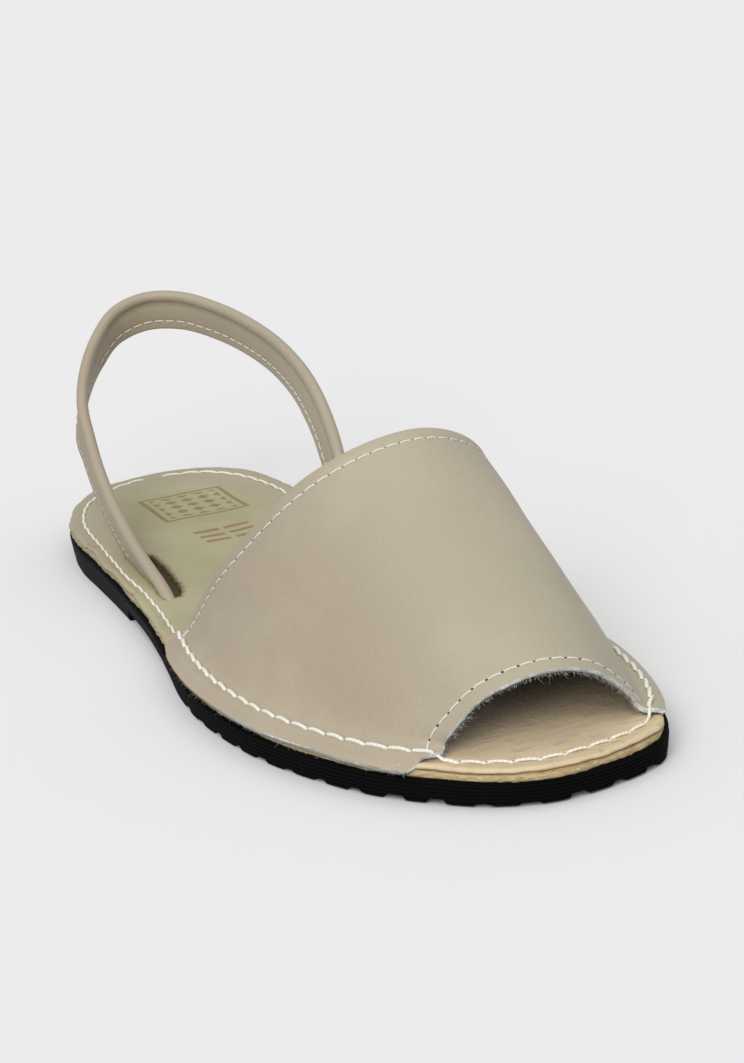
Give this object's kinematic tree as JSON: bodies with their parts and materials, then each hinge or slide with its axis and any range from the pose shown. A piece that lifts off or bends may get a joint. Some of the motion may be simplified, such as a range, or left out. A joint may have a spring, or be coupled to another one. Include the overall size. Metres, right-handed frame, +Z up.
{
  "type": "peep-toe slingback sandal",
  "caption": "Flat open-toe leather sandal, right foot: one wide vamp folded out onto the sole, a loose heel strap from slots in the footbed, and a thick rubber sole with a stepped underside.",
  "frame": {"origin": "centre of the outline on the ground plane, under the middle of the shoe", "axes": "+X from heel to toe, +Y to the wearer's left, which is the inner side of this right shoe, +Z up"},
  "size_m": [0.251, 0.087, 0.0634],
  "materials": {
    "sole_rubber": "matte",
    "raw_leather": "raw cut edge",
    "footbed_leather": "smooth satin",
    "upper_leather": "smooth satin"
  },
  "bodies": {
    "root": {"outsole": "sole_rubber", "midsole": "raw_leather", "insole": "footbed_leather", "vamp": "upper_leather", "heel_strap": "upper_leather"}
  },
  "joints": []
}
